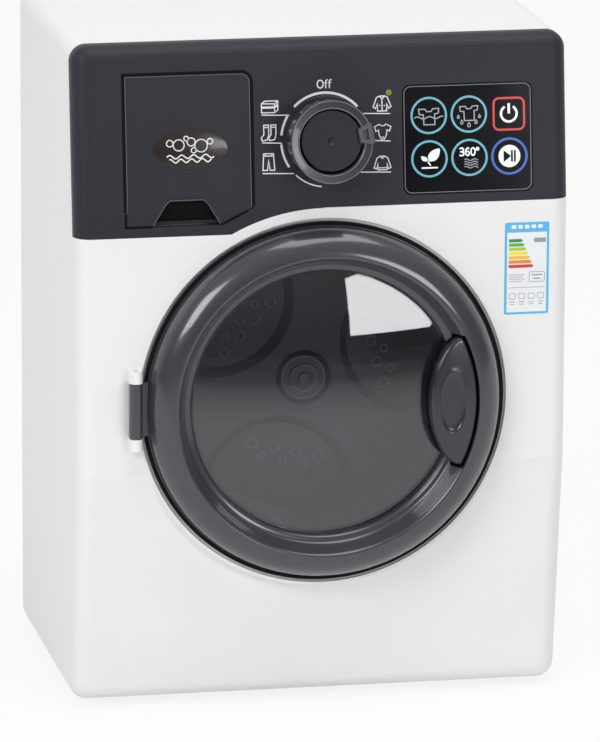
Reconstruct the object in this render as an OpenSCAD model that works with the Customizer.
// Toy front-loading washing machine, taken apart the way it comes apart on a bench.
// Millimetres, +Z up, the door faces -Y, the origin is under the middle of the toy.

/* [Casing] */
// Width of the casing
body_w = 200; // [190:1:240]
// Height of the top above the floor
body_h = 272; // [268:1:300]
// Depth of the casing, without door and knob
body_d = 145; // [140:1:180]
// Thickness of the moulded walls
wall = 2.2; // [1.8:0.1:2.8]
// Radius of the casing's outer edges
edge_r = 7; // [6:0.5:9]
// Height of the feet
foot_h = 3; // [2:0.5:6]
// Depth of the front half of the casing
split_d = 62; // [60:1:68]
// Height at which the control panel begins to lean back
knee_z = 206; // [205:0.5:209]
// Height below which the front leans back
bend_z = 100; // [80:1:110]
// Lean of the control panel, in degrees
lean = 7; // [4:0.5:9]
// Lean of the lower front, in degrees
chin = 8; // [4:0.5:10]

/* [Door] */
// Height of the door's centre
door_z = 127; // [126:0.5:128]
// Radius of the door ring
ring_r = 74; // [73:0.5:75]
// Radius of the ring's crest
crest_r = 61.5; // [60:0.5:64]
// How far the crest stands out of the front
crest_h = 12; // [9:0.5:12.5]
// Radius of the window
window_r = 54; // [52:0.5:55]
// How far the window bulges out of its edge
dome_h = 7; // [4:0.5:8]
// Thickness of the window
window_t = 1.8; // [1.4:0.1:2.2]
// How far the handle stands out of the front
handle_top = 13; // [12.8:0.1:15]
// Radius of the handle's left edge
handle_r = 35; // [32:1:40]
// Distance from the door's centre to the handle's tip
handle_tip = 41.5; // [41:0.5:46]
// Radius at which the grip gap ends
notch_r = 61.4; // [61:0.1:64]
// Width of the grip gap behind the handle's outer edge
grip_gap = 1.6; // [1.5:0.1:5]

/* [Controls] */
// Distance of the knob right of the middle
knob_x = 0.8; // [0:0.2:6]
// Distance of the knob below the top, along the panel
knob_down = 39; // [36:0.5:42]
// Radius of the knob
knob_r = 17.2; // [14:0.1:18]
// Height of the knob over the panel
knob_h = 15; // [11:0.5:15]
// Width of the touch panel
pad_w = 53; // [46:0.5:54]
// Height of the touch panel
pad_h = 44; // [38:0.5:44]
// Distance of the touch panel right of the middle
pad_x = 58.7; // [57:0.1:60]
// Distance of the touch panel's top below the top, along the panel
pad_down = 18.8; // [17:0.1:20]

/* [Drawer] */
// Left edge of the drawer's front
drawer_x0 = -79.7; // [-82:0.1:-78]
// Right edge of the drawer's front
drawer_x1 = -28.8; // [-30:0.1:-28]
// Lower edge of the drawer's front
drawer_z0 = 200.8; // [200:0.1:201.5]
// Upper edge of the drawer's front
drawer_z1 = 260.4; // [258:0.1:261]
// How far the drawer pulls out
drawer_travel = 30; // [20:1:32]
// Length of the detergent tray
tray_l = 44; // [40:1:46]

/* [Drum] */
// Outer radius of the drum
drum_r = 56.5; // [54:0.5:57]
// Depth of the drum
drum_d = 40; // [36:1:42]
// Distance of the drum's mouth behind the front
drum_mouth = 6.5; // [6.2:0.1:7.5]
// Thickness of the drum's wall
drum_t = 1.6; // [1.4:0.1:1.8]
// Radius of the round fields in the drum's back
lobe_r = 31.5; // [29:0.5:32]
// Distance of the round fields from the drum's axis
lobe_ring = 48.5; // [47:0.5:50]

/* [Drive] */
// Gear module
gear_m = 0.8; // [0.8:0.01:0.84]
// Teeth of the pinions
small_teeth = 10;
// Teeth of the wheels
big_teeth = 50;
// Backlash between two teeth
backlash = 0.22; // [0.16:0.01:0.3]
// Radius of the drum's shaft
shaft_r = 2.5; // [2.2:0.1:2.8]
// Radius of the idler's axle
axle_r = 1.25; // [1:0.05:1.5]
// Face width of the gears
gear_t = 4; // [3:0.5:4.5]

/* [Batteries] */
// Diameter of one battery
cell_d = 14.5; // [14.2:0.1:15]
// Length of one battery
cell_l = 50.5; // [50:0.1:51.5]
// Number of batteries
cells = 3; // [2:1:4]
// Height of the battery case's lower edge above the casing's floor
battery_lift = 12; // [10:1:18]

/* [Fits] */
// Clearance of a piece that slides
slip = 0.3; // [0.25:0.05:0.45]
// Radial clearance of a shaft in its bearing
bearing_gap = 0.06; // [0.04:0.01:0.09]
// Visible seam between two mouldings
seam = 0.2; // [0.15:0.05:0.4]
// Radius of the casing screws
screw_r = 1.3; // [1:0.1:1.5]

/* [Hidden] */

arc_fn = 96;
small_fn = 48;
cut = 1;

white = "white";
graphite = [0.25, 0.26, 0.28];
black = [0.06, 0.06, 0.07];
smoke = [0.2, 0.2, 0.22, 0.6];
steel = "silver";
green = [0.1, 0.35, 0.2];

// Planes of the casing
front_y = (handle_top - body_d) / 2;
back_y = front_y + body_d;
split_y = front_y + split_d;
side_x = body_w / 2;
slope_l = (body_h - knee_z) / cos(lean);

function unit(v) = v / norm(v);
function left_of(v) = [-v[1], v[0]];
function inset_corner(a, b, c, r) =
    let (n = left_of(unit(b - a)), m = left_of(unit(c - b)))
    b + r * (n + m) / (1 + n * m);
function inset(p, r) =
    let (k = len(p))
    [for (i = [0:k - 1]) inset_corner(p[(i + k - 1) % k], p[i], p[(i + 1) % k], r)];
function arc(centre, r, from, to, steps) =
    [for (i = [0:steps]) centre + r * [cos(from + (to - from) * i / steps),
                                       sin(from + (to - from) * i / steps)]];

// Outline of the casing seen from the side, as [y, z]
side_profile = [
    [front_y + (bend_z - foot_h) * tan(chin), foot_h],
    [back_y, foot_h],
    [back_y, body_h],
    [front_y + (body_h - knee_z) * tan(lean), body_h],
    [front_y, knee_z],
    [front_y, bend_z]
];

// Places: the door's and drum's axis points forward, the panel's frame lies on its slope
module on_door_axis(h = 0) translate([0, front_y - h, door_z]) rotate([90, 0, 0]) children();
module on_fascia(h = 0)
    translate([0, front_y, knee_z]) rotate([90 - lean, 0, 0]) translate([0, 0, h]) children();
module on_knob(h = 0) on_fascia() translate([knob_x, slope_l - knob_down, h]) children();
module from_back(depth = 0) translate([0, back_y - depth, 0]) rotate([-90, 0, 0]) children();

module ball(r, n) sphere(r / cos(180 / n), $fn = n);
module rounded_form(r, n)
    hull()
        for (p = inset(side_profile, edge_r), s = [-1, 1])
            translate([s * (side_x - edge_r), p[0], p[1]])
                ball(r, n);
module casing_skin() rounded_form(edge_r, 32);
module casing_space() rounded_form(edge_r - wall, 16);

// A plate with round corners, its lower left corner at the origin
module round_plate(w, h, t, r)
    linear_extrude(t)
        union() {
            translate([r, 0]) square([w - 2 * r, h]);
            translate([0, r]) square([w, h - 2 * r]);
            for (x = [r, w - r], y = [r, h - r])
                translate([x, y]) circle(r, $fn = small_fn);
        }
module tube(r_out, r_in, h)
    difference() {
        cylinder(r = r_out, h = h, $fn = small_fn);
        translate([0, 0, -cut]) cylinder(r = r_in, h = h + 2 * cut, $fn = small_fn);
    }

/* ---- Casing ---- */
fascia_t = 9;
shelf_t = 2;
lobe_z = 196.4;
lobe_arc_r = knee_z - door_z - 0.15;
recess_h = 2;
recess_gap = 0.8;
opening_r = drum_r + 1.4;

// Front view of everything that belongs to the control panel, as an outline in [x, z]
module fascia_outline()
    difference() {
        union() {
            translate([-side_x - cut, knee_z]) square([body_w + 2 * cut, 2 * slope_l]);
            translate([-side_x - cut, lobe_z]) square([side_x + cut, knee_z - lobe_z + cut]);
        }
        translate([0, door_z]) circle(lobe_arc_r, $fn = arc_fn);
    }
module front_view_prism(from_h, to_h)
    translate([0, front_y - from_h, 0]) rotate([90, 0, 0]) linear_extrude(to_h - from_h) children();
// Space in front of the panel's rear plane
module fascia_zone(depth)
    intersection() {
        on_fascia(-depth) translate([-body_w, -2 * slope_l, 0]) cube([2 * body_w, 4 * slope_l, 60]);
        front_view_prism(-40, 30) fascia_outline();
    }

post_r = 4;
post_x = side_x - edge_r - post_r;
post_web_t = 3;
post_zs = [foot_h + 16, door_z + 8, body_h - 18];
post_l = 22;
well_r = 2.8;
screw_len = 20;
screw_head_h = 2;
bezel_r = ring_r + recess_gap + 1.4;
bezel_l = (bend_z - door_z + bezel_r) * tan(chin) + wall + 1;
shelf_gap = 0.4;

module casing_posts(r, from_d, to_d)
    for (s = [-1, 1], z = post_zs)
        translate([s * post_x, front_y + from_d, z])
            rotate([-90, 0, 0]) cylinder(r = r, h = to_d - from_d, $fn = small_fn);

// Webs that tie the posts to the side walls
module casing_webs(from_d, to_d)
    for (s = [-1, 1], z = post_zs)
        translate([s > 0 ? post_x : -side_x + wall / 2, front_y + from_d, z - post_web_t / 2])
            cube([side_x - wall / 2 - post_x, to_d - from_d, post_web_t]);

// Shelf behind the control panel, on which the panel's posts stand
board_w = pad_w + 4;
fascia_post_r = 3.2;
fascia_post_x = pad_x - board_w / 2 - fascia_post_r - 0.8;
fascia_posts = [[-side_x + 14, slope_l - 14], [-14.5, slope_l - 8], [fascia_post_x, slope_l - 8],
                [fascia_post_x, 9], [side_x - 7, slope_l - 8], [side_x - 7, 9], [-side_x + 12, 9]];
module fascia_post_places(h) on_fascia(h) for (p = fascia_posts) translate(p) children();
bay_wall = 1.6;
bay_x0 = drawer_x0 + 4;
bay_x1 = drawer_x1 - 4;
notch_top = drawer_z0 + 9.9;
pocket_wall = 1.2;
bay_z0 = notch_top + pocket_wall + slip + bay_wall;
bay_z1 = drawer_z1 - 7;
module drawer_bay_prism(grow, from_d, to_d)
    translate([bay_x0 - grow, front_y + from_d, bay_z0 - grow])
        cube([bay_x1 - bay_x0 + 2 * grow, to_d - from_d, bay_z1 - bay_z0 + 2 * grow]);

switch_w = 30;
switch_hole_w = switch_w + 4;
board_h = pad_h + 2;
board_v = slope_l - pad_down - pad_h - 1;
module shelf()
    difference() {
        intersection() {
            on_fascia(-fascia_t - shelf_t) translate([-side_x, -14, 0]) cube([body_w, slope_l + 14, shelf_t]);
            casing_space();
            front_view_prism(-40, 5) shelf_outline();
        }
        drawer_bay_prism(bay_wall + shelf_gap, -5, 40);
        on_knob(-fascia_t - shelf_t - cut)
            translate([-switch_hole_w / 2, -switch_hole_w / 2, 0])
                cube([switch_hole_w, switch_hole_w, shelf_t + 2 * cut]);
        on_fascia(-fascia_t - shelf_t - cut)
            translate([pad_x - board_w / 2 + 5, board_v + 5, 0])
                cube([board_w - 10, board_h - 10, shelf_t + 2 * cut]);
        fascia_post_places(-fascia_t - shelf_t - cut) cylinder(r = screw_r + 0.3, h = 10, $fn = small_fn);
    }
module shelf_outline()
    difference() {
        translate([-side_x, lobe_z - 8]) square([body_w, slope_l + 20]);
        translate([0, door_z]) circle(bezel_r - wall, $fn = arc_fn);
    }

// Latch slot and hinge ears in the door's seat
latch_x = ring_r - 6;
latch_w = 2.4;
latch_h = 16;
latch_l = 9;
latch_play = 1.2;
hinge_x = -ring_r - 2.6;
hinge_h = 3.6;
pin_r = 1.25;
knuckle_r = 2.7;
knuckle_l = 22;
ear_l = 5;
ear_gap = 0.35;
module hinge_axis(z0) translate([hinge_x, front_y - hinge_h, door_z + z0]) children();
module hinge_ear(z0)
    difference() {
        hinge_axis(z0)
            union() {
                cylinder(r = knuckle_r, h = ear_l, $fn = small_fn);
                translate([-knuckle_r, 0, 0]) cube([2 * knuckle_r, hinge_h + wall / 2, ear_l]);
            }
        hinge_axis(z0 - cut) cylinder(r = pin_r, h = ear_l + 2 * cut, $fn = small_fn);
    }
module latch_slot()
    on_door_axis(-recess_h - wall - cut)
        translate([latch_x - latch_w / 2 - latch_play, -latch_h / 2 - latch_play, 0])
            cube([latch_w + 2 * latch_play, latch_h + 2 * latch_play, wall + 2 * cut]);

foot_r = 9;
foot_x = side_x - 20;
foot_ds = [split_d - 24, body_d - 22];
peg_r = 2;
peg_l = 4;
module foot_places() for (s = [-1, 1], d = foot_ds) translate([s * foot_x, front_y + d, 0]) children();

// Collar round the drum: screwed to four posts behind the seat
collar_post_r = 3.4;
collar_ring_r = (opening_r + bezel_r) / 2 + 2;
collar_d = recess_h + wall + 6;
module around_door(r, angles) on_door_axis() for (a = angles) rotate(a) translate([r, 0, 0]) children();
collar_angles = [45, 135, 225, 315];

module front_housing() {
    color(white)
        difference() {
            union() {
                difference() {
                    intersection() {
                        casing_skin();
                        translate([-body_w, front_y - cut, 0]) cube([2 * body_w, split_d + cut, 2 * body_h]);
                    }
                    casing_space();
                    fascia_zone(fascia_t + seam);
                    on_door_axis(-bezel_l - 5) cylinder(r = bezel_r - wall, h = bezel_l + 20, $fn = arc_fn);
                }
                on_door_axis(-recess_h - wall) cylinder(r = bezel_r, h = recess_h + wall, $fn = arc_fn);
                on_door_axis(-bezel_l) tube_round(bezel_r, bezel_r - wall, bezel_l);
                shelf();
                casing_posts(post_r, split_d - post_l, split_d);
                casing_webs(split_d - post_l, split_d);
                for (z0 = [-knuckle_l / 2 - ear_gap - ear_l, knuckle_l / 2 + ear_gap]) hinge_ear(z0);
                around_door(collar_ring_r, collar_angles)
                    translate([0, 0, -collar_d])
                        cylinder(r = collar_post_r, h = collar_d - recess_h, $fn = small_fn);
            }
            on_door_axis(-recess_h) cylinder(r = ring_r + recess_gap, h = recess_h + cut, $fn = arc_fn);
            on_door_axis(-recess_h - wall - cut) cylinder(r = opening_r, h = wall + 2 * cut, $fn = arc_fn);
            latch_slot();
            casing_posts(screw_r, split_d - post_l + 4, split_d + cut);
            around_door(collar_ring_r, collar_angles)
                translate([0, 0, -collar_d - cut])
                    cylinder(r = screw_r, h = collar_d - recess_h - wall + cut, $fn = small_fn);
            foot_places() cylinder(r = peg_r, h = foot_h + wall + cut, $fn = small_fn);
        }
}
module tube_round(r_out, r_in, h)
    difference() {
        cylinder(r = r_out, h = h, $fn = arc_fn);
        translate([0, 0, -cut]) cylinder(r = r_in, h = h + 2 * cut, $fn = arc_fn);
    }

// Speaker, battery case and drive behind the drum
speaker_x = 50;
speaker_z = body_h - 62;
speaker_r = 20;
speaker_h = 9;
speaker_ring_h = 3;
grille_r = 1.2;
grille_pitch = 5;

box_w = cells * cell_d + 8;
box_l = cell_l + 9;
box_d = cell_d + 4.5;
box_z0 = foot_h + wall + battery_lift;
lid_lip = 4;
lid_head = 10;
lid_screw_up = 5;
lid_gap = 0.3;

gear_centre = gear_m * (small_teeth + big_teeth) / 2;
gearbox_w = gear_m * big_teeth + 12;
gearbox_t = 22;
drum_back_gap = 4;
drive_d = drum_mouth + drum_d + drum_back_gap;
module at_drive(d = 0) translate([0, front_y + drive_d + d, door_z]) rotate([-90, 0, 0]) children();
gearbox_wall = 1.8;
gearbox_screw_x = gearbox_w / 2 + 4;
gearbox_screw_zs = [-18, 46];
boss_r = 3.6;
module gearbox_screw_places() for (s = [-1, 1], z = gearbox_screw_zs) translate([s * gearbox_screw_x, -z, 0]) children();

module rear_housing() {
    gearbox_back = drive_d + gearbox_t;
    color(white)
        difference() {
            union() {
                difference() {
                    intersection() {
                        casing_skin();
                        translate([-body_w, split_y, 0]) cube([2 * body_w, body_d, 2 * body_h]);
                    }
                    casing_space();
                }
                casing_posts(post_r, split_d, body_d - wall / 2);
                casing_webs(split_d, body_d - wall / 2);
                translate([0, front_y + gearbox_back, door_z])
                    rotate([-90, 0, 0])
                        gearbox_screw_places()
                            cylinder(r = boss_r, h = body_d - gearbox_back - wall / 2, $fn = small_fn);
                from_back(wall + speaker_ring_h)
                    translate([speaker_x, -speaker_z, 0])
                        tube(speaker_r + slip + 1.6, speaker_r + slip, speaker_ring_h + wall / 2);
                for (s = [-1, 1])
                    from_back(wall + speaker_h)
                        translate([speaker_x + s * (speaker_r + 7), -speaker_z, 0])
                            cylinder(r = boss_r, h = speaker_h + wall / 2, $fn = small_fn);
                main_board_corners()
                    from_back(main_board_off)
                        cylinder(r = 2.6, h = main_board_off - wall / 2, $fn = small_fn);
            }
            casing_posts(screw_r + 0.2, split_d - cut, body_d + cut);
            casing_posts(well_r, split_d + screw_len / 2, body_d + cut);
            translate([0, front_y + gearbox_back - cut, door_z])
                rotate([-90, 0, 0])
                    gearbox_screw_places() cylinder(r = screw_r, h = 14, $fn = small_fn);
            for (s = [-1, 1])
                from_back(wall + speaker_h + cut)
                    translate([speaker_x + s * (speaker_r + 7), -speaker_z, 0])
                        cylinder(r = screw_r, h = speaker_h, $fn = small_fn);
            from_back(wall + cut)
                for (i = [-3:3], j = [-3:3])
                    if (norm([i, j]) < 3.3)
                        translate([speaker_x + i * grille_pitch, -speaker_z + j * grille_pitch, 0])
                            cylinder(r = grille_r, h = wall + 2 * cut, $fn = 24);
            // Opening for the battery cover
            translate([-box_w / 2 - lid_lip, back_y - wall - cut, box_z0 - lid_lip])
                cube([box_w + 2 * lid_lip, wall + 2 * cut, box_l + lid_lip + lid_head]);
            main_board_corners()
                from_back(main_board_off + cut) cylinder(r = 1, h = main_board_off - wall + cut, $fn = small_fn);
            foot_places() cylinder(r = peg_r, h = foot_h + wall + cut, $fn = small_fn);
        }
}

/* ---- Control panel ---- */
// The casing's front between two depths, as a bent slab along X
module front_layer(d0, d1, x0, x1)
    translate([x0, 0, 0])
        rotate([90, 0, 90])
            linear_extrude(x1 - x0)
                difference() {
                    polygon(inset(side_profile, d0));
                    polygon(inset(side_profile, d1));
                }
module behind_front(d, x0, x1)
    translate([x0, 0, 0]) rotate([90, 0, 90]) linear_extrude(x1 - x0) polygon(inset(side_profile, d));

drawer_corner = 4;
drawer_chamfer = [12.6, 6.4];
module drawer_outline(g)
    difference() {
        translate([drawer_x0 - g, drawer_z0 - g])
            square([drawer_x1 - drawer_x0 + 2 * g, drawer_z1 - drawer_z0 + 2 * g]);
        polygon([[drawer_x1 - drawer_chamfer[0] + g, drawer_z0 - g - cut],
                 [drawer_x1 - drawer_chamfer[0] + g, drawer_z0 - g],
                 [drawer_x1 + g, drawer_z0 + drawer_chamfer[1] - g],
                 [drawer_x1 + g + cut, drawer_z0 + drawer_chamfer[1] - g],
                 [drawer_x1 + g + cut, drawer_z0 - g - cut]]);
        translate([drawer_x1 - drawer_corner, drawer_z1 - drawer_corner])
            difference() {
                square(drawer_corner + g + cut);
                circle(drawer_corner + g, $fn = small_fn);
            }
    }

pad_t = 1.2;
pad_r = 3.3;
pad_v = slope_l - pad_down - pad_h;
pad_rim = 5;
board_t = 1.2;
standoff = 2;
standoff_r = 2.6;
stem_r = 3;
module board_corners()
    on_fascia()
        for (x = [3, board_w - 3], v = [3, board_h - 3])
            translate([pad_x - board_w / 2 + x, board_v + v, 0]) children();

module control_fascia() {
    color(graphite)
        difference() {
            union() {
                difference() {
                    casing_skin();
                    casing_space();
                }
                fascia_post_places(-fascia_t)
                    cylinder(r = fascia_post_r, h = fascia_t - wall / 2, $fn = small_fn);
                board_corners()
                    translate([0, 0, -wall - standoff])
                        cylinder(r = standoff_r, h = standoff + wall / 2, $fn = small_fn);
            }
            translate([-body_w, -body_d, -cut])
                cube([2 * body_w, 2 * body_d, lobe_z + cut]);
            difference() {
                translate([-body_w, -body_d, 0]) cube([2 * body_w, 2 * body_d, 2 * body_h]);
                fascia_zone(fascia_t);
            }
            front_view_prism(-20, 20) drawer_outline(slip);
            on_knob(-wall - cut) cylinder(r = stem_r + 0.5, h = wall + 2 * cut, $fn = small_fn);
            on_fascia(-pad_t) translate([pad_x - pad_w / 2, pad_v, 0]) round_plate(pad_w, pad_h, pad_t + cut, pad_r);
            on_fascia(-wall - cut)
                translate([pad_x - pad_w / 2 + pad_rim, pad_v + pad_rim, 0])
                    cube([pad_w - 2 * pad_rim, pad_h - 2 * pad_rim, wall + cut]);
            fascia_post_places(-fascia_t - cut) cylinder(r = screw_r, h = fascia_t - wall + cut, $fn = small_fn);
            board_corners()
                translate([0, 0, -wall - standoff - cut]) cylinder(r = 0.8, h = standoff + wall, $fn = small_fn);
        }
}

module casing_feet() {
    color(black)
        foot_places()
            difference() {
                union() {
                    cylinder(r1 = foot_r - 1, r2 = foot_r, h = foot_h, $fn = small_fn);
                    cylinder(r = peg_r - 0.1, h = foot_h + peg_l, $fn = small_fn);
                }
                translate([0, 0, -cut]) cylinder(r = foot_r - 5, h = cut + 1, $fn = small_fn);
            }
}

// A pan-head screw with a cross recess, its head's underside at the origin, its tip along -Z
module pan_screw(r, l, head_r, head_h) {
    difference() {
        union() {
            translate([0, 0, -l]) cylinder(r = r, h = l + head_h / 2, $fn = small_fn);
            cylinder(r1 = head_r, r2 = head_r * 0.82, h = head_h, $fn = small_fn);
        }
        for (a = [0, 90])
            rotate(a) translate([-head_r * 0.55, -0.3, head_h * 0.45]) cube([head_r * 1.1, 0.6, head_h]);
    }
}
module housing_screws() {
    color(steel)
        for (s = [-1, 1], z = post_zs)
            translate([s * post_x, front_y + split_d + screw_len / 2, z])
                rotate([-90, 0, 0]) pan_screw(screw_r - 0.05, screw_len, well_r - 0.3, screw_head_h);
}
fascia_screw_l = 7;
module board_screws() {
    color(steel) {
        board_corners()
            translate([0, 0, -wall - standoff - board_t]) mirror([0, 0, 1]) pan_screw(0.75, 3, 1.6, 1);
        fascia_post_places(-fascia_t - shelf_t)
            mirror([0, 0, 1]) pan_screw(screw_r - 0.05, fascia_screw_l, 2.6, 1.6);
        main_board_corners() from_back(main_board_off + board_t)
            mirror([0, 0, 1]) pan_screw(0.95, 4, 2, 1.2);
    }
}

module touch_panel() {
    color(black)
        on_fascia(-pad_t)
            translate([pad_x - pad_w / 2 + seam, pad_v + seam, 0])
                round_plate(pad_w - 2 * seam, pad_h - 2 * seam, pad_t, pad_r - seam);
}
// Places of the six touch fields, as columns and rows from the panel's middle
field_dx = 16.1;
field_dv = 17.6;
field_r = 7.2;
module touch_fields() for (i = [-1:1], j = [-0.5, 0.5]) translate([i * field_dx, j * field_dv, 0]) children();
module touch_board() {
    color(green)
        difference() {
            union() {
                on_fascia(-wall - standoff - board_t)
                    translate([pad_x - board_w / 2, board_v, 0]) cube([board_w, board_h, board_t]);
                // Sensing pads that press up against the panel's back
                on_fascia(-wall - standoff - board_t / 2)
                    translate([pad_x, pad_v + pad_h / 2, 0])
                        touch_fields()
                            cylinder(r = 5, h = wall + standoff + board_t / 2 - pad_t - 0.3, $fn = small_fn);
            }
            board_corners()
                translate([0, 0, -wall - standoff - board_t - cut]) cylinder(r = 0.9, h = board_t + 2 * cut, $fn = small_fn);
        }
}

main_board_w = 60;
main_board_h = 40;
main_board_x = -70;
main_board_z = body_h - 66;
main_board_off = wall + 5;
module main_board_corners()
    for (x = [3.5, main_board_w - 3.5], z = [3.5, main_board_h - 3.5])
        translate([main_board_x + x, 0, main_board_z + z]) children();
module main_board() {
    color(green) {
        difference() {
            translate([main_board_x, back_y - main_board_off - board_t, main_board_z])
                cube([main_board_w, board_t, main_board_h]);
            main_board_corners()
                from_back(main_board_off + board_t + cut) cylinder(r = 1, h = board_t + 2 * cut, $fn = small_fn);
        }
        // Sound chip, a capacitor and the plug for the wires
        translate([main_board_x + 18, back_y - main_board_off - board_t - 2, main_board_z + 12])
            cube([14, 2, 14]);
        translate([main_board_x + 44, 0, main_board_z + 14])
            from_back(main_board_off + board_t + 7) cylinder(r = 3, h = 7, $fn = small_fn);
        translate([main_board_x + 12, back_y - main_board_off - board_t - 5, main_board_z + 32])
            cube([22, 5, 5]);
    }
}

switch_t = 7;
switch_bore_r = stem_r + bearing_gap;
switch_tab = 4;
stem_l = wall + switch_t + 0.6;
module dial_switch() {
    color(black)
        difference() {
            on_knob(-wall - switch_t)
                union() {
                    translate([-switch_w / 2 + 3, -switch_w / 2 + 3, 0])
                        round_plate(switch_w - 6, switch_w - 6, switch_t, 3);
                    translate([-switch_w / 2, -switch_tab, switch_t - 2]) cube([switch_w, 2 * switch_tab, 2]);
                }
            on_knob(-wall - switch_t - cut) cylinder(r = switch_bore_r, h = switch_t + 2 * cut, $fn = small_fn);
        }
}
base_lift = 0.5;
base_h = 2.6;
disc_r = knob_r * 0.7;
crown_out = knob_r - 0.8;
crown_gap = 0.15;
module knob_base() {
    color(graphite)
        on_knob()
            difference() {
                union() {
                    translate([0, 0, base_lift])
                        rotate_extrude($fn = arc_fn)
                            polygon(concat([[0, 0], [knob_r - 0.6, 0]],
                                           arc([knob_r - 0.6, 0.6], 0.6, -60, 60, 4),
                                           [[knob_r - 1, base_h], [0, base_h]]));
                    translate([0, 0, base_lift]) cylinder(r = disc_r, h = knob_h - base_lift - 1.6, $fn = arc_fn);
                    translate([0, 0, -stem_l]) cylinder(r = stem_r, h = stem_l + 1, $fn = small_fn);
                }
                translate([0, 0, knob_h - 2.2])
                    cylinder(r1 = 0.8, r2 = 2.2, h = 1.2, $fn = small_fn);
                translate([0, 0, -stem_l - cut]) cylinder(r = 1, h = 8, $fn = small_fn);
            }
}
tab_w = 7.6;
tab_angle = 12;
module knob_crown() {
    color(smoke)
        on_knob(base_lift + base_h)
            difference() {
                union() {
                    rotate_extrude($fn = arc_fn)
                        polygon(concat([[disc_r + crown_gap, 0], [crown_out, 0]],
                                       arc([crown_out - 2.6, knob_h - base_lift - base_h - 2], 2, 8, 90, 5),
                                       arc([disc_r + crown_gap + 0.8, knob_h - base_lift - base_h - 0.8], 0.8, 90, 180, 3)));
                    rotate(tab_angle)
                        translate([disc_r + crown_gap, -tab_w / 2, 1])
                            cube([crown_out - disc_r + 0.4, tab_w, knob_h - base_lift - base_h - 1]);
                }
                rotate(tab_angle)
                    translate([disc_r + 2, -1.6, knob_h - base_lift - base_h - 0.8]) cube([1.5, 3.2, 2]);
            }
}
module knob_screw() {
    color(steel) on_knob(-stem_l) mirror([0, 0, 1]) pan_screw(0.95, 6, 4.2, 1.2);
}

/* ---- Drawer ---- */
tray_wall = 1.4;
bay_back = tray_l + 5;
module drawer_bay() {
    color(white)
        difference() {
            union() {
                intersection() {
                    drawer_bay_prism(bay_wall, 0, bay_back + bay_wall);
                    behind_front(wall + 1, -side_x, side_x);
                }
                intersection() {
                    on_fascia(-fascia_t - shelf_t - bay_wall) translate([-side_x, -20, 0])
                        cube([body_w, 2 * slope_l, bay_wall]);
                    drawer_bay_prism(bay_wall + 3, 0, bay_back);
                }
            }
            drawer_bay_prism(0, -5, bay_back);
        }
}
// Finger notch, a trapezoid round its middle line, with a closed pocket behind it
notch_x = drawer_x1 - 26.6;
notch_foot = 13.4;
notch_head = 7.4;
notch_corner = 1.6;
pocket_d = 8.2;
module notch_outline(z0)
    translate([notch_x, 0])
        polygon([[-notch_foot, z0], [notch_foot, z0], [notch_foot - 0.6, drawer_z0 + 1.2],
                 [notch_head + 1, notch_top - notch_corner], [notch_head - 1, notch_top],
                 [1 - notch_head, notch_top], [-notch_head - 1, notch_top - notch_corner],
                 [0.6 - notch_foot, drawer_z0 + 1.2]]);
module drawer_front() {
    color(graphite)
        union() {
            difference() {
                union() {
                    intersection() {
                        front_layer(0, wall, -side_x, side_x);
                        front_view_prism(-20, 20) drawer_outline(0);
                    }
                    intersection() {
                        front_view_prism(-pocket_d, -wall / 2) drawer_outline(0.02);
                        translate([notch_x - notch_foot - pocket_wall, front_y, drawer_z0 + 0.1])
                            cube([2 * notch_foot + 2 * pocket_wall, pocket_d, notch_top + pocket_wall - drawer_z0]);
                    }
                }
                front_view_prism(-pocket_d + pocket_wall, 20) notch_outline(drawer_z0 - cut);
            }
            translate([notch_x - notch_foot - 0.4, front_y + wall + 0.2, drawer_z0 + 0.2])
                cube([2 * notch_foot, pocket_d - wall - 0.6, pocket_wall]);
        }
}
module drawer_tray() {
    color(white)
        difference() {
            intersection() {
                behind_front(wall, -side_x, side_x);
                translate([bay_x0 + slip, front_y - cut, bay_z0 + slip])
                    cube([bay_x1 - bay_x0 - 2 * slip, tray_l + cut, bay_z1 - bay_z0 - 2 * slip - 8]);
            }
            intersection() {
                behind_front(wall + tray_wall, -side_x, side_x);
                for (half = [0, 1])
                    translate([bay_x0 + slip + tray_wall + half * (bay_x1 - bay_x0) / 2, front_y - cut,
                               bay_z0 + slip + tray_wall])
                        cube([(bay_x1 - bay_x0) / 2 - 2 * slip - 2 * tray_wall, tray_l + cut - tray_wall, body_h]);
            }
        }
}

/* ---- Speaker ---- */
module speaker() {
    color(black)
        translate([speaker_x, 0, speaker_z])
            from_back(wall + speaker_h)
                difference() {
                    union() {
                        cylinder(r = speaker_r * 0.45, h = 4, $fn = small_fn);
                        translate([0, 0, 3]) cylinder(r1 = speaker_r * 0.5, r2 = speaker_r - 0.6, h = 4, $fn = small_fn);
                        translate([0, 0, 6.4]) cylinder(r = speaker_r, h = speaker_h - 6.6, $fn = small_fn);
                    }
                    translate([0, 0, 4.5])
                        cylinder(r1 = speaker_r * 0.2, r2 = speaker_r - 3, h = speaker_h, $fn = small_fn);
                }
}
clamp_t = 1.6;
module speaker_clamp() {
    color(white)
        translate([speaker_x, 0, speaker_z])
            from_back(wall + speaker_h + clamp_t)
                difference() {
                    translate([-speaker_r - 7 - boss_r, -5, 0])
                        round_plate(2 * (speaker_r + 7 + boss_r), 10, clamp_t, 3);
                    for (s = [-1, 1])
                        translate([s * (speaker_r + 7), 0, -cut])
                            cylinder(r = screw_r + 0.2, h = clamp_t + 2 * cut, $fn = small_fn);
                }
}

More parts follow.
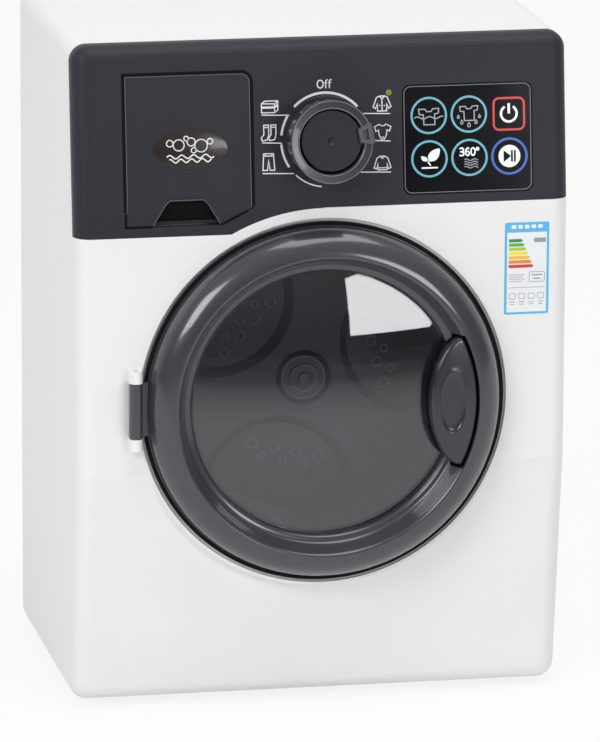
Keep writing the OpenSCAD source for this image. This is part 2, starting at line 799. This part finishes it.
/* ---- Drum ---- */
collar_t = 2;
collar_wall = 1.5;
module tub_collar() {
    color(white)
        difference() {
            union() {
                on_door_axis(-collar_d - collar_t)
                    tube_round(collar_ring_r + collar_post_r, opening_r, collar_t);
                on_door_axis(-collar_d - collar_t)
                    tube_round(opening_r + collar_wall, opening_r, collar_d + collar_t - recess_h - wall);
            }
            around_door(collar_ring_r, collar_angles)
                translate([0, 0, -collar_d - collar_t - cut])
                    cylinder(r = screw_r + 0.2, h = collar_t + 2 * cut, $fn = small_fn);
        }
}

drum_back_t = 2;
lobe_deep = 3.2;
lobe_slant = 3.4;
lobe_angles = [17, 137, 257];
hub_boss_r = 5.6;
hub_sleeve_r = 6.5;
groove_out = 11.2;
groove_in = 9.2;
drum_lip = 2.4;
rim_slots = 36;
side_rows = 3;
side_holes = 24;
arms_z = -drum_d + drum_back_t + lobe_deep;
module lobe_places() for (a = lobe_angles) rotate(a) translate([lobe_ring, 0, 0]) children();
lobe_rise = lobe_slant / lobe_deep;
module drum_disc(r, z0, z1) translate([0, 0, z0]) cylinder(r = r, h = z1 - z0, $fn = arc_fn);
// Cups of the round fields behind the back wall, and the hollows cut into them from the front
module lobe_cups()
    intersection() {
        lobe_places() drum_disc(lobe_r + drum_back_t, -drum_d, arms_z - 0.5);
        drum_disc(drum_r - 1.2, -drum_d - cut, 0);
    }
module lobe_hollows()
    intersection() {
        lobe_places()
            translate([0, 0, arms_z - lobe_deep])
                cylinder(r1 = lobe_r - lobe_slant, r2 = lobe_r + lobe_rise, h = lobe_deep + 1, $fn = arc_fn);
        drum_disc(drum_r - drum_t - 0.3, -drum_d - cut, 0);
    }
// Raised rings on the floor of each round field
dimple_rows = [[31, [-1.5, -0.5, 0.5, 1.5], 9.2, 2.1], [35.2, [-1, 0, 1], 8.9, 1.6]];
module dimples()
    for (a = lobe_angles, row = dimple_rows, k = row[1])
        rotate(a)
            translate([row[0], k * row[2], -drum_d + drum_back_t - 0.2])
                tube(row[3], row[3] - 0.7, 0.75);
module drum() {
    color(graphite)
        on_door_axis(-drum_mouth)
            difference() {
                union() {
                    difference() {
                        union() {
                            rotate_extrude($fn = arc_fn)
                                polygon([[0, arms_z - drum_back_t], [drum_r - 2.5, arms_z - drum_back_t],
                                         [drum_r, arms_z - drum_back_t + 2.5], [drum_r, -0.8], [drum_r - 0.8, 0],
                                         [drum_r - drum_lip, 0], [drum_r - drum_lip, -1.2],
                                         [drum_r - drum_t, -2.4], [drum_r - drum_t, arms_z], [0, arms_z]]);
                            lobe_cups();
                        }
                        lobe_hollows();
                    }
                    dimples();
                    translate([0, 0, -drum_d]) cylinder(r = hub_sleeve_r, h = arms_z + drum_d, $fn = small_fn);
                    translate([0, 0, arms_z - 0.5]) cylinder(r = hub_boss_r, h = 1.9, $fn = small_fn);
                }
                translate([0, 0, arms_z - 1]) tube(groove_out, groove_in, 2);
                translate([0, 0, arms_z + 0.3]) cylinder(r = 3, h = 3, $fn = small_fn);
                translate([0, 0, -drum_d - cut]) cylinder(r = shaft_r, h = arms_z + drum_d + cut - 1.4, $fn = small_fn);
                translate([0, 0, -drum_d]) cylinder(r = 1.2, h = drum_d, $fn = small_fn);
                // Drain slots round the mouth and rows of holes in the side
                for (i = [0:rim_slots - 1])
                    rotate(i * 360 / rim_slots)
                        translate([drum_r - 5, -2.6, -8]) cube([10, 5.2, 2.6]);
                for (row = [1:side_rows], i = [0:side_holes - 1])
                    rotate((i + row / 2) * 360 / side_holes)
                        translate([drum_r - 5, 0, -9 - row * 6.5]) rotate([0, 90, 0]) cylinder(r = 1.1, h = 10, $fn = 24);
            }
}
module drum_screw() {
    color(steel)
        on_door_axis(-drum_mouth + arms_z + 0.3) pan_screw(1.15, 9, 2.2, 1.4);
}

/* ---- Drive ---- */
tooth_press = 25;
tooth_top = 0.85;
tooth_root = 1.2;
flank_steps = 4;
function involute(rb, t) = rb * [cos(t) + t * PI / 180 * sin(t), sin(t) - t * PI / 180 * cos(t)];
function spin(p, a) = [p[0] * cos(a) - p[1] * sin(a), p[0] * sin(a) + p[1] * cos(a)];
function tooth_flank(n) =
    let (rp = gear_m * n / 2,
         rb = rp * cos(tooth_press),
         rt = rp + gear_m * tooth_top,
         half = 90 / n - backlash / rp * 90 / PI / 2,
         inv = (tan(tooth_press) - tooth_press * PI / 180) * 180 / PI,
         t1 = sqrt(pow(rt / rb, 2) - 1) * 180 / PI)
    [for (i = [0:flank_steps]) spin(involute(rb, t1 * i / flank_steps), -half - inv)];
function flip(p) = [p[0], -p[1]];
module gear_outline(n) {
    rp = gear_m * n / 2;
    root = rp - gear_m * tooth_root;
    flank = tooth_flank(n);
    up = [for (i = [flank_steps:-1:0]) flip(flank[i])];
    tooth = concat([unit(flank[0]) * root], flank, up, [unit(flip(flank[0])) * root]);
    polygon([for (k = [0:n - 1], p = tooth) spin(p, k * 360 / n)]);
}
layer_a = 3.4;
layer_b = layer_a + gear_t + 1;
gear_hub_r = shaft_r + 3.2;
rear_boss_z = layer_b + gear_t + 0.4;
gearbox_half = gearbox_t / 2;
box_down = gear_m * big_teeth / 2 + 6;
box_up = 2 * gear_centre + gear_m * small_teeth / 2 + 6;
small_turn = 90;
big_turn = -90 + 180 / big_teeth;
module at_compound(z = 0) at_drive(z) translate([0, -gear_centre, 0]) children();
module at_pinion(z = 0) at_drive(z) translate([0, -2 * gear_centre, 0]) children();
press_gap = 0.02;

module drum_gear() {
    color(white)
        at_drive(layer_a)
            difference() {
                union() {
                    rotate(big_turn) linear_extrude(gear_t) gear_outline(big_teeth);
                    translate([0, 0, -0.8]) cylinder(r = gear_hub_r, h = gear_t + 1.3, $fn = small_fn);
                }
                translate([0, 0, -3]) cylinder(r = shaft_r + press_gap, h = 40, $fn = small_fn);
                for (a = [0:60:300]) rotate(a) translate([12.2, 0, -cut]) cylinder(r = 3, h = gear_t + 2 * cut, $fn = small_fn);
            }
}
module compound_gear() {
    color(white)
        at_compound(layer_a)
            difference() {
                union() {
                    rotate(small_turn) linear_extrude(gear_t + 1.2) gear_outline(small_teeth);
                    translate([0, 0, gear_t + 1]) rotate(big_turn) linear_extrude(gear_t) gear_outline(big_teeth);
                }
                translate([0, 0, -cut]) cylinder(r = axle_r + bearing_gap, h = 40, $fn = small_fn);
                for (a = [0:60:300])
                    rotate(a) translate([12.2, 0, gear_t + 1 - cut]) cylinder(r = 3, h = gear_t + 2 * cut, $fn = small_fn);
            }
}
motor_shaft_r = 1;
module motor_pinion() {
    color("gold")
        at_pinion(layer_b - 0.4)
            difference() {
                rotate(small_turn) linear_extrude(gear_t + 0.8) gear_outline(small_teeth);
                translate([0, 0, -cut]) cylinder(r = motor_shaft_r + press_gap, h = 40, $fn = small_fn);
            }
}
motor_l = 25;
module motor_shaft() {
    color(steel) at_pinion(layer_b - 0.8) cylinder(r = motor_shaft_r, h = gearbox_t - layer_b + motor_l, $fn = small_fn);
}
module gear_axle() {
    color(steel) at_compound(0.6) cylinder(r = axle_r, h = gearbox_t - 1.2, $fn = small_fn);
}
module drum_shaft() {
    color(steel)
        at_drive(-drum_back_gap - lobe_deep - drum_back_t + 1.6)
            difference() {
                cylinder(r = shaft_r - press_gap, h = drum_back_gap + lobe_deep + drum_back_t - 1.6 + gearbox_t - cut - 0.4,
                         $fn = small_fn);
                translate([0, 0, -cut]) cylinder(r = 1.17, h = 10, $fn = small_fn);
            }
}
bush_r = shaft_r + 2;
module drum_bush() {
    color("gold")
        at_drive(-1.2)
            difference() {
                union() {
                    cylinder(r = bush_r + 1.6, h = 1.2, $fn = small_fn);
                    cylinder(r = bush_r, h = 3, $fn = small_fn);
                }
                translate([0, 0, -cut]) cylinder(r = shaft_r - press_gap + bearing_gap, h = 10, $fn = small_fn);
            }
}
module gearbox_block(inset_by, z0, z1)
    translate([-gearbox_w / 2 + inset_by, -box_up + inset_by, z0])
        round_plate(gearbox_w - 2 * inset_by, box_up + box_down - 2 * inset_by, z1 - z0, 6 - inset_by);
module gearbox_ears(z0, z1)
    translate([0, 0, z0])
        gearbox_screw_places()
            union() {
                cylinder(r = boss_r, h = z1 - z0, $fn = small_fn);
            }
module gearbox_ear_webs(z0, z1)
    translate([0, 0, z0])
        for (s = [-1, 1], z = gearbox_screw_zs)
            translate([s > 0 ? gearbox_w / 2 - 1 : -gearbox_screw_x, -z - boss_r, 0])
                cube([gearbox_screw_x - gearbox_w / 2 + 1, 2 * boss_r, z1 - z0]);
module gearbox_front() {
    color(white)
        at_drive()
            difference() {
                union() {
                    difference() {
                        gearbox_block(0, 0, gearbox_half);
                        gearbox_block(gearbox_wall, gearbox_wall, gearbox_half + cut);
                    }
                    gearbox_ears(gearbox_half - 3, gearbox_half);
                    gearbox_ear_webs(gearbox_half - 3, gearbox_half);
                    translate([0, -gear_centre, 0]) cylinder(r = 3, h = layer_a - 0.3, $fn = small_fn);
                }
                translate([0, 0, -cut]) cylinder(r = bush_r + press_gap, h = 10, $fn = small_fn);
                translate([0, -gear_centre, 0.5]) cylinder(r = axle_r + press_gap, h = 10, $fn = small_fn);
                gearbox_screw_places() cylinder(r = screw_r + 0.2, h = 40, $fn = small_fn);
            }
}
cradle_t = 1.8;
motor_w = 20;
motor_flat = 15.2;
module gearbox_rear() {
    color(white)
        at_drive()
            difference() {
                union() {
                    difference() {
                        gearbox_block(0, gearbox_half, gearbox_t);
                        gearbox_block(gearbox_wall, gearbox_half - cut, gearbox_t - gearbox_wall);
                    }
                    gearbox_ears(gearbox_half, gearbox_t);
                    gearbox_ear_webs(gearbox_half, gearbox_t);
                    translate([0, 0, rear_boss_z]) cylinder(r = shaft_r + 3, h = gearbox_t - rear_boss_z, $fn = small_fn);
                    translate([0, -gear_centre, rear_boss_z])
                        cylinder(r = 3, h = gearbox_t - rear_boss_z, $fn = small_fn);
                    for (s = [-1, 1])
                        translate([-motor_w / 2, -2 * gear_centre + (s > 0 ? motor_flat / 2 + 0.1 : -motor_flat / 2 - 0.1 - cradle_t),
                                   gearbox_t - 1])
                            cube([motor_w, cradle_t, 15]);
                }
                translate([0, 0, rear_boss_z - cut])
                    cylinder(r = shaft_r - press_gap + bearing_gap, h = gearbox_t - rear_boss_z, $fn = small_fn);
                translate([0, -gear_centre, rear_boss_z - cut])
                    cylinder(r = axle_r + press_gap, h = gearbox_t - rear_boss_z + 0.6, $fn = small_fn);
                translate([0, -2 * gear_centre, 0]) cylinder(r = 3.2, h = 40, $fn = small_fn);
                gearbox_screw_places() cylinder(r = screw_r + 0.2, h = 60, $fn = small_fn);
            }
}
gearbox_screw_l = 22;
module gearbox_screws() {
    color(steel) {
        at_drive(gearbox_half - 3)
            gearbox_screw_places() mirror([0, 0, 1]) pan_screw(screw_r - 0.05, gearbox_screw_l, 2.6, 1.8);
        around_door(collar_ring_r, collar_angles)
            translate([0, 0, -collar_d - collar_t]) mirror([0, 0, 1]) pan_screw(screw_r - 0.05, 6, 2.4, 1.4);
        for (s = [-1, 1])
            translate([speaker_x + s * (speaker_r + 7), 0, speaker_z])
                from_back(wall + speaker_h + clamp_t) mirror([0, 0, 1]) pan_screw(screw_r - 0.05, 6, 2.6, 1.6);
    }
}
module motor() {
    color(steel)
        at_pinion(gearbox_t)
            difference() {
                union() {
                    intersection() {
                        cylinder(r = motor_w / 2, h = motor_l, $fn = arc_fn);
                        translate([-motor_w / 2, -motor_flat / 2, 0]) cube([motor_w, motor_flat, motor_l]);
                    }
                    translate([0, 0, -1.5]) cylinder(r = 3, h = 2, $fn = small_fn);
                    translate([0, 0, motor_l - 0.5]) cylinder(r = 4, h = 2, $fn = small_fn);
                    for (s = [-1, 1]) translate([s * 7 - 1.2, -0.2, motor_l - 0.5]) cube([2.4, 0.4, 4.5]);
                }
                translate([0, 0, -5]) cylinder(r = motor_shaft_r + bearing_gap, h = motor_l + 6, $fn = small_fn);
            }
}
lamp_at = 33;
module drum_lamp() {
    color([0.7, 0.85, 1, 0.7])
        at_drive()
            translate([14, -lamp_at, 0]) mirror([0, 0, 1])
                union() {
                    cylinder(r = 2.9, h = 1, $fn = small_fn);
                    cylinder(r = 2.5, h = 2, $fn = small_fn);
                    translate([0, 0, 1.2]) intersection() { sphere(2.5, $fn = small_fn); cylinder(r = 3, h = 2.2, $fn = small_fn); }
                }
}

/* ---- Batteries ---- */
box_wall = 1.6;
flange_over = lid_lip + 2.5;
tongue_w = 8;
module box_frame(depth = 0) translate([0, back_y - depth, box_z0]) children();
module battery_box() {
    color(white)
        difference() {
            union() {
                box_frame(wall + box_d)
                    translate([-box_w / 2 - box_wall, 0, -box_wall])
                        cube([box_w + 2 * box_wall, box_d, box_l + 2 * box_wall]);
                box_frame(wall + box_wall)
                    translate([-box_w / 2 - flange_over, 0, -flange_over])
                        cube([box_w + 2 * flange_over, box_wall, box_l + flange_over + lid_head + 2.5]);
                // Post for the cover's screw
                box_frame(wall + 10)
                    translate([0, 0, box_l + lid_screw_up]) rotate([-90, 0, 0]) cylinder(r = 3, h = 9.5, $fn = small_fn);
            }
            for (i = [0:cells - 1])
                box_frame(wall + box_d - box_wall)
                    translate([-box_w / 2 + i * box_w / cells + 0.6, 0, 0])
                        cube([box_w / cells - 1.2, box_d + 5, box_l]);
            box_frame(wall + box_d * 0.45)
                translate([-box_w / 2, 0, 0]) cube([box_w, box_d, box_l]);
            box_frame(wall + 9)
                translate([0, 0, box_l + lid_screw_up]) rotate([-90, 0, 0]) cylinder(r = screw_r, h = 12, $fn = small_fn);
            // Slots for the cover's tongues
            for (s = [-1, 1])
                box_frame(wall + box_wall + cut)
                    translate([s * box_w / 4 - tongue_w / 2 - lid_gap, 0, -lid_lip])
                        cube([tongue_w + 2 * lid_gap, box_wall + 2 * cut, 2.4]);
        }
}
contact_t = 0.4;
spring_wire = 0.45;
module battery_contacts() {
    color(steel)
        for (i = [0:cells - 1])
            translate([-box_w / 2 + (i + 0.5) * box_w / cells, back_y - wall - box_d / 2 + box_wall / 2, box_z0]) {
                translate([-5, -5, 0]) cube([10, 10, contact_t]);
                translate([-5, -5, box_l - contact_t]) cube([10, 10, contact_t]);
                translate([0, 0, i % 2 == 0 ? contact_t + spring_wire * 0.8 : box_l - contact_t - spring_wire * 0.8])
                    mirror([0, 0, i % 2])
                        for (k = [0:4])
                            translate([0, 0, k * spring_wire * 1.6])
                                rotate_extrude($fn = 32) translate([4 - 0.3 * k, 0]) circle(spring_wire, $fn = 16);
            }
}
module battery_cover() {
    color(white)
        difference() {
            union() {
                box_frame(wall)
                    translate([-box_w / 2 - lid_lip + lid_gap, 0, -lid_lip + lid_gap])
                        cube([box_w + 2 * lid_lip - 2 * lid_gap, wall, box_l + lid_lip + lid_head - 2 * lid_gap]);
                for (s = [-1, 1])
                    box_frame(wall + box_wall + 1.5)
                        translate([s * box_w / 4 - tongue_w / 2, 0, -lid_lip + lid_gap])
                            cube([tongue_w, box_wall + 1.5 + cut, 1.5]);
            }
            box_frame(wall + cut)
                translate([0, 0, box_l + lid_screw_up]) rotate([-90, 0, 0])
                    cylinder(r = screw_r + 0.2, h = wall + 2 * cut, $fn = small_fn);
            box_frame(1.4)
                translate([0, 0, box_l + lid_screw_up]) rotate([-90, 0, 0]) cylinder(r = 2.9, h = 3, $fn = small_fn);
            // Finger grooves across the cover
            for (i = [0:5])
                box_frame(0.6)
                    translate([-10, 0, 6 + i * 2.4]) cube([20, 1, 1.2]);
        }
}
module cover_screw() {
    color(steel)
        box_frame(1.4)
            translate([0, 0, box_l + lid_screw_up]) rotate([-90, 0, 0]) pan_screw(screw_r - 0.05, 7, 2.5, 1.2);
}

/* ---- Door ---- */
ring_back = recess_h - 0.5;
lip_h = 3.2;
window_seat_r = window_r + 3.3;
inner_in = window_r + 1.6;
inner_out = ring_r - 2.6;
inner_t = 1.6;
inner_back = recess_h - 0.2;
door_post_r = 2.6;
door_post_at = ring_r - 7;
door_post_angles = [60, 120, 240, 300];
ring_skin = 2.2;

module lens(grow)
    intersection() {
        circle(notch_r + grow, $fn = arc_fn);
        translate([handle_tip + handle_r, 0]) circle(handle_r + grow, $fn = arc_fn);
    }
module pocket_area(grow)
    difference() {
        lens(grow);
        circle(window_seat_r + 0.3 - grow, $fn = arc_fn);
    }
// Convex outer band from the rim up to the crest, then the slope down to the window
outer_band = arc([ring_r - 11.2, 1.4], 10.8, 0, 82, 8);
function band_point(p) =
    [ring_r - 0.4 - (ring_r - 0.4 - crest_r) * (ring_r - 0.4 - p[0]) / (ring_r - 0.4 - outer_band[8][0]),
     1.4 + (crest_h - 1.4) * (p[1] - 1.4) / (outer_band[8][1] - 1.4)];
function under(p) = [p[0] - ring_skin * 0.7, max(p[1] - ring_skin, 1.6)];
module door_ring_section()
    polygon(concat(
        [[ring_r - 2.2, -ring_back], [ring_r, -ring_back], [ring_r, 0.9]],
        [for (p = outer_band) band_point(p)],
        [[crest_r - 1, crest_h - 0.5], [crest_r - 2.4, crest_h - 2.4], [window_r + 3, lip_h + 2],
         [window_r + 0.8, lip_h + 0.3], [window_r, lip_h], [window_r, 1.6], [window_seat_r, 1.6],
         [crest_r - 2.4, crest_h - 6]],
        [for (i = [8:-1:1]) under(band_point(outer_band[i]))]));
module door_ring() {
    color(graphite)
        difference() {
            union() {
                on_door_axis() rotate_extrude($fn = arc_fn) door_ring_section();
                on_door_axis()
                    for (a = door_post_angles)
                        rotate(a) translate([door_post_at, 0, 0])
                            cylinder(r = door_post_r, h = crest_h * 0.5, $fn = small_fn);
                hinge_axis(-knuckle_l / 2) cylinder(r = knuckle_r, h = knuckle_l, $fn = small_fn);
                hinge_axis(-knuckle_l / 2)
                    translate([0, -1.2, 0]) cube([ring_r + 3.2 + hinge_x + 4, 2.8, knuckle_l]);
            }
            on_door_axis(-5) linear_extrude(30) lens(0.3);
            hinge_axis(-knuckle_l) cylinder(r = pin_r + bearing_gap, h = 2 * knuckle_l, $fn = small_fn);
            on_door_axis(-cut)
                for (a = door_post_angles)
                    rotate(a) translate([door_post_at, 0, 0]) cylinder(r = 0.9, h = 5, $fn = small_fn);
        }
}
dome_r = (pow(window_r - 0.4, 2) + pow(dome_h, 2)) / (2 * dome_h);
dome_angle = asin((window_r - 0.4) / dome_r);
dome_z = lip_h + dome_h - dome_r;
module door_window() {
    color(smoke)
        on_door_axis()
            rotate_extrude($fn = arc_fn)
                polygon(concat([[window_seat_r - 0.3, 0], [window_seat_r - 0.3, 1.4], [window_r - 0.4, 1.4]],
                               arc([0, dome_z], dome_r, 90 - dome_angle, 90, 12),
                               arc([0, dome_z], dome_r - window_t, 90, 90 - dome_angle, 12),
                               [[window_r - 0.4 - window_t, 0]]));
}
module door_inner_ring() {
    color(graphite)
        on_door_axis(-inner_back)
            difference() {
                union() {
                    tube_round(inner_out, inner_in, inner_t);
                    tube_round(inner_in + 1.4, inner_in, inner_back - 0.1);
                }
                for (a = door_post_angles)
                    rotate(a) translate([door_post_at, 0, -cut]) cylinder(r = 1.2, h = inner_t + 2 * cut, $fn = small_fn);
                for (a = door_post_angles)
                    rotate(a) translate([door_post_at, 0, -cut]) cylinder(r = 2.3, h = cut + 0.8, $fn = small_fn);
            }
}
module door_screws() {
    color(steel)
        on_door_axis(-inner_back + 0.8)
            for (a = door_post_angles)
                rotate(a) translate([door_post_at, 0, 0]) mirror([0, 0, 1]) pan_screw(0.85, 5, 2, 0.75);
}
pocket_t = 1.8;
foot_post_r = 1.3;
foot_post = [window_seat_r + foot_post_r, 19.5];
module grip_pocket() {
    color(black)
        difference() {
            on_door_axis(-inner_back + inner_t + 0.02)
                linear_extrude(pocket_t) pocket_area(-0.1);
            handle_posts(-5, 20, 0.05);
        }
}
module handle_posts(z0, z1, grow)
    on_door_axis(z0)
        for (s = [-1, 1])
            translate([foot_post[0] * cos(foot_post[1]), s * foot_post[0] * sin(foot_post[1]), 0])
                cylinder(r = foot_post_r + grow, h = z1 - z0, $fn = small_fn);
handle_base = 7.4;
pillow_r = 90;
roll_r = 36;
thumb_deep = 1.5;
thumb_minor = 9.1;
thumb_major = 36;
thumb_x = 50;
crest_x = thumb_x - 5.8;
module door_handle() {
    color(graphite)
        union() {
            on_door_axis()
                difference() {
                    intersection() {
                        translate([0, 0, handle_base]) linear_extrude(handle_top)
                            intersection() {
                                translate([-grip_gap, 0]) circle(notch_r, $fn = arc_fn);
                                translate([handle_tip + handle_r, 0]) circle(handle_r, $fn = arc_fn);
                            }
                        translate([crest_x, 0, handle_top - pillow_r]) sphere(pillow_r, $fn = 180);
                        translate([crest_x, 50, handle_top - roll_r + 0.02])
                            rotate([90, 0, 0]) cylinder(r = roll_r, h = 100, $fn = 180);
                    }
                    translate([thumb_x, 0, handle_top + thumb_major + thumb_minor - thumb_deep])
                        rotate([0, 90, 0]) rotate_extrude($fn = 180) translate([thumb_major, 0]) circle(thumb_minor, $fn = 64);
                }
            handle_posts(-inner_back + inner_t + 0.1, handle_base + 0.6, 0);
        }
}
tongue_l = latch_l - inner_back;
module door_latch() {
    color(graphite)
        on_door_axis(-latch_l)
            difference() {
                translate([latch_x - latch_w / 2, -latch_h / 2, 0])
                    cube([latch_w, latch_h, tongue_l]);
                translate([latch_x + latch_w / 2 - 0.3, -latch_h / 2 - cut, 1.6]) cube([1, latch_h + 2 * cut, 1.4]);
                translate([latch_x, -latch_h / 2 - cut, 0])
                    rotate([-90, 0, 0]) translate([0, 0, 0]) mirror([0, 1, 0]) rotate([0, 0, -30])
                        translate([0.9, -3, 0]) cube([3, 3, latch_h + 2 * cut]);
            }
}
module hinge_pin() {
    color(steel)
        hinge_axis(-knuckle_l / 2 - ear_gap - ear_l)
            cylinder(r = pin_r - press_gap, h = knuckle_l + 2 * ear_gap + 2 * ear_l, $fn = small_fn);
}
module latch_spring() {
    color(steel)
        on_door_axis(-recess_h - wall)
            union() {
                translate([latch_x + latch_w / 2 + latch_play + 0.3, -latch_h / 2 + 2, -0.5])
                    cube([2.6, latch_h - 4, 0.5]);
                translate([latch_x + latch_w / 2 + 0.5, -latch_h / 2 + 2, -5.5])
                    cube([0.5, latch_h - 4, 1.2]);
                translate([latch_x + latch_w / 2 + 0.5, -latch_h / 2 + 2, -5.5])
                    cube([latch_play + 0.3, latch_h - 4, 0.5]);
                translate([latch_x + latch_w / 2 + latch_play + 0.3, -latch_h / 2 + 2, -5.5])
                    cube([0.5, latch_h - 4, 5.5]);
            }
}

front_housing();
rear_housing();
control_fascia();
casing_feet();
housing_screws();
touch_panel();
touch_board();
board_screws();
main_board();
dial_switch();
knob_base();
knob_crown();
knob_screw();
drawer_bay();
drawer_front();
drawer_tray();
speaker();
speaker_clamp();
tub_collar();
drum_lamp();
drum();
drum_screw();
drum_shaft();
drum_bush();
gearbox_front();
gearbox_rear();
gearbox_screws();
motor();
motor_shaft();
motor_pinion();
compound_gear();
gear_axle();
drum_gear();
battery_box();
battery_contacts();
battery_cover();
cover_screw();
door_ring();
door_window();
door_inner_ring();
door_handle();
grip_pocket();
door_latch();
door_screws();
hinge_pin();
latch_spring();
